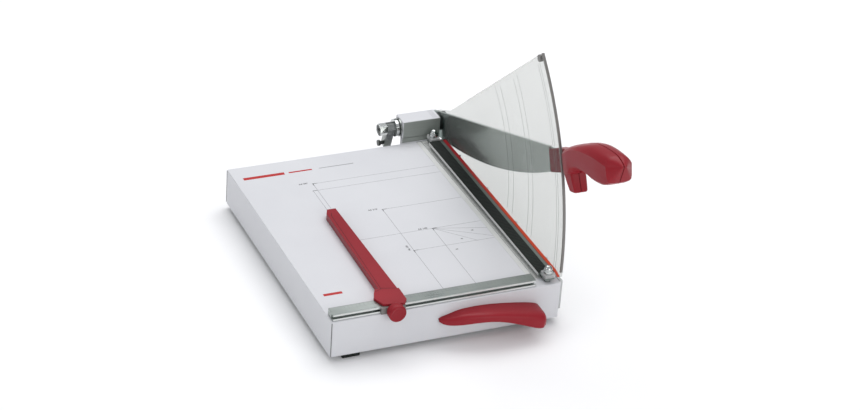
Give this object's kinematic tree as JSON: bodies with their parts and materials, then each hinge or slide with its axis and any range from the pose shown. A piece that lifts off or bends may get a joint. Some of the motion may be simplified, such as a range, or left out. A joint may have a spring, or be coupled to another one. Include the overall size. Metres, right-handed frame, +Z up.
{
  "type": "guillotine paper cutter",
  "caption": "Table-top guillotine paper cutter: lever blade on a rear pivot, clear sector guard on a self-acting clamp bar, side fence and sliding backgauge.",
  "frame": {"origin": "middle of the whole machine's footprint, on the surface it stands on", "axes": "+Y from the handle end to the pivot, +X to the blade side, +Z up"},
  "size_m": [0.3256, 0.5293, 0.318],
  "materials": {
    "white_paint": "fine textured powder coat",
    "red_plastic": "moulded, satin",
    "clear_guard": "clear acrylic sheet",
    "guard_trim": "dark edge strip",
    "blade_steel": "ground steel",
    "knife_steel": "ground steel",
    "rail_aluminium": "drawn and anodised",
    "rule_metal": "brushed",
    "clamp_aluminium": "dark anodised",
    "black_rubber": "matt",
    "red_strip": "translucent red-orange",
    "light_strip": "smooth",
    "chrome": "bright",
    "zinc_steel": "zinc plated",
    "dark_steel": "oiled",
    "bronze": "plain",
    "galvanised": "sheet"
  },
  "bodies": {
    "base": {"housing": "white_paint", "base_plate": "galvanised", "stiffener_channels": "galvanised", "bed_beam": "zinc_steel", "edge_strip": "light_strip", "rule_strip": "rule_metal", "lower_knife": "knife_steel", "knife_screws": "zinc_steel", "rubber_feet": "black_rubber", "foot_screws": "zinc_steel", "fence_rail": "rail_aluminium", "rail_screws": "zinc_steel", "carry_handle": "red_plastic", "carry_handle_screws": "zinc_steel", "bearing_block": "white_paint", "block_screws": "zinc_steel", "shaft_bushes": "bronze", "spring_anchor": "galvanised", "return_spring": "dark_steel"},
    "arm": {"pivot_bolt": "dark_steel", "arm_spacer": "dark_steel", "blade": "blade_steel", "blade_pins": "chrome", "thrust_washer": "zinc_steel", "disc_spring": "dark_steel", "chrome_washer": "chrome", "shaft_lever": "zinc_steel", "spring_pin": "dark_steel", "shaft_nut": "chrome", "handle_left_shell": "red_plastic", "handle_right_shell": "red_plastic", "handle_screws": "dark_steel", "tang_rivets": "zinc_steel"},
    "clamp": {"clamp_bar": "clamp_aluminium", "grip_strip": "black_rubber", "red_line_strip": "red_strip", "guard_plate": "clear_guard", "guard_edge_trim": "guard_trim", "guard_cap": "guard_trim", "guard_screws": "zinc_steel", "end_blocks": "clear_guard", "guide_posts": "chrome", "cap_nuts": "chrome", "clamp_yoke": "galvanised", "yoke_nuts": "zinc_steel", "post_springs": "dark_steel"},
    "gauge": {"backgauge": "red_plastic", "gauge_bracket": "guard_trim", "slider_nut": "zinc_steel"},
    "knob": {"clamp_knob": "red_plastic", "clamp_screw": "zinc_steel"}
  },
  "joints": [
    {"name": "arm_hinge", "type": "hinge", "parent": "base", "child": "arm", "pos_m": [0.1414, 0.2426, 0.0745], "axis": [-1, 0, 0], "range_deg": [-22.5, 25]},
    {"name": "clamp_slide", "type": "slide", "parent": "base", "child": "clamp", "axis": [0, 0, 1], "range_m": [-0.00475, 0.00526], "deforming": ["post_springs"]},
    {"name": "gauge_slide", "type": "slide", "parent": "base", "child": "gauge", "axis": [1, 0, 0], "range_m": [-0.058, 0.165]},
    {"name": "knob_turn", "type": "hinge", "parent": "gauge", "child": "knob", "pos_m": [-0.0836, -0.1624, 0.0615], "axis": [0, -1, 0], "range_deg": [0, 270]}
  ],
  "couplings": [
    {"joint": "clamp_slide", "follows": "arm_hinge", "m_per_rad": 0.01197}
  ]
}
